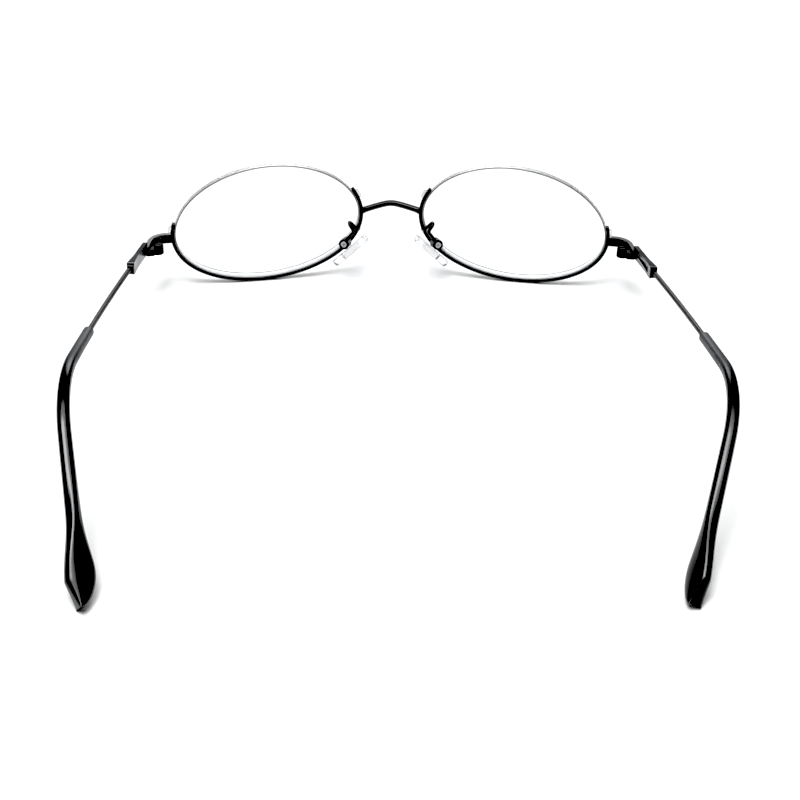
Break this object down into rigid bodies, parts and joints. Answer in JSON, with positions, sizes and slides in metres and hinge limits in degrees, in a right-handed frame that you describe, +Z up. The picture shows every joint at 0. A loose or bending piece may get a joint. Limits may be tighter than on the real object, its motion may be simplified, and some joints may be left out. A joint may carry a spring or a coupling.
{
  "type": "half-rim spectacles",
  "caption": "Half-rim spectacles with oval clear lenses, black metal rims under the lenses, clear filament above, rocking nose pads and folding wire temples with black tips.",
  "frame": {"origin": "middle of the open spectacles' footprint, on the table under them", "axes": "+X to the wearer's left, +Y from the lenses back to the temple ends, +Z up"},
  "size_m": [0.1572, 0.1508, 0.035],
  "materials": {
    "black_metal": "semi-gloss black lacquer",
    "black_acetate": "polished black acetate",
    "lens": "clear polished lens plastic with a ground edge",
    "filament": "clear nylon",
    "pad": "clear silicone",
    "steel": "bright turned steel"
  },
  "bodies": {
    "front": {"bridge": "black_metal", "left_rim": "black_metal", "right_rim": "black_metal", "left_lens": "lens", "right_lens": "lens", "left_groove_liner": "filament", "right_groove_liner": "filament", "left_top_cord": "filament", "right_top_cord": "filament", "left_pad_arm": "black_metal", "right_pad_arm": "black_metal", "left_pad_box": "black_metal", "right_pad_box": "black_metal", "left_pad_screw": "steel", "right_pad_screw": "steel", "left_end_piece": "black_metal", "right_end_piece": "black_metal", "left_front_hinge": "black_metal", "right_front_hinge": "black_metal", "left_hinge_screw": "black_metal", "right_hinge_screw": "black_metal"},
    "left_temple": {"left_temple_hinge": "black_metal", "left_temple_bar": "black_metal", "left_temple_wire": "black_metal", "left_temple_tip": "black_acetate"},
    "right_temple": {"right_temple_hinge": "black_metal", "right_temple_bar": "black_metal", "right_temple_wire": "black_metal", "right_temple_tip": "black_acetate"},
    "left_pad": {"left_pad_stem": "pad", "left_nose_pad": "pad"},
    "right_pad": {"right_pad_stem": "pad", "right_nose_pad": "pad"}
  },
  "joints": [
    {"name": "left_temple_fold", "type": "hinge", "parent": "front", "child": "left_temple", "pos_m": [0.06549, -0.06157, 0.01379], "axis": [0, 0, 1], "range_deg": [0, 90]},
    {"name": "right_temple_fold", "type": "hinge", "parent": "front", "child": "right_temple", "pos_m": [-0.06549, -0.06157, 0.01379], "axis": [0, 0, -1], "range_deg": [0, 70]},
    {"name": "left_pad_rock", "type": "hinge", "parent": "front", "child": "left_pad", "pos_m": [0.01305, -0.06711, 0.01304], "axis": [0.238, 0.9397, 0.2456], "range_deg": [-6, 6]},
    {"name": "right_pad_rock", "type": "hinge", "parent": "front", "child": "right_pad", "pos_m": [-0.01305, -0.06711, 0.01304], "axis": [-0.238, 0.9397, 0.2456], "range_deg": [-6, 6]}
  ]
}
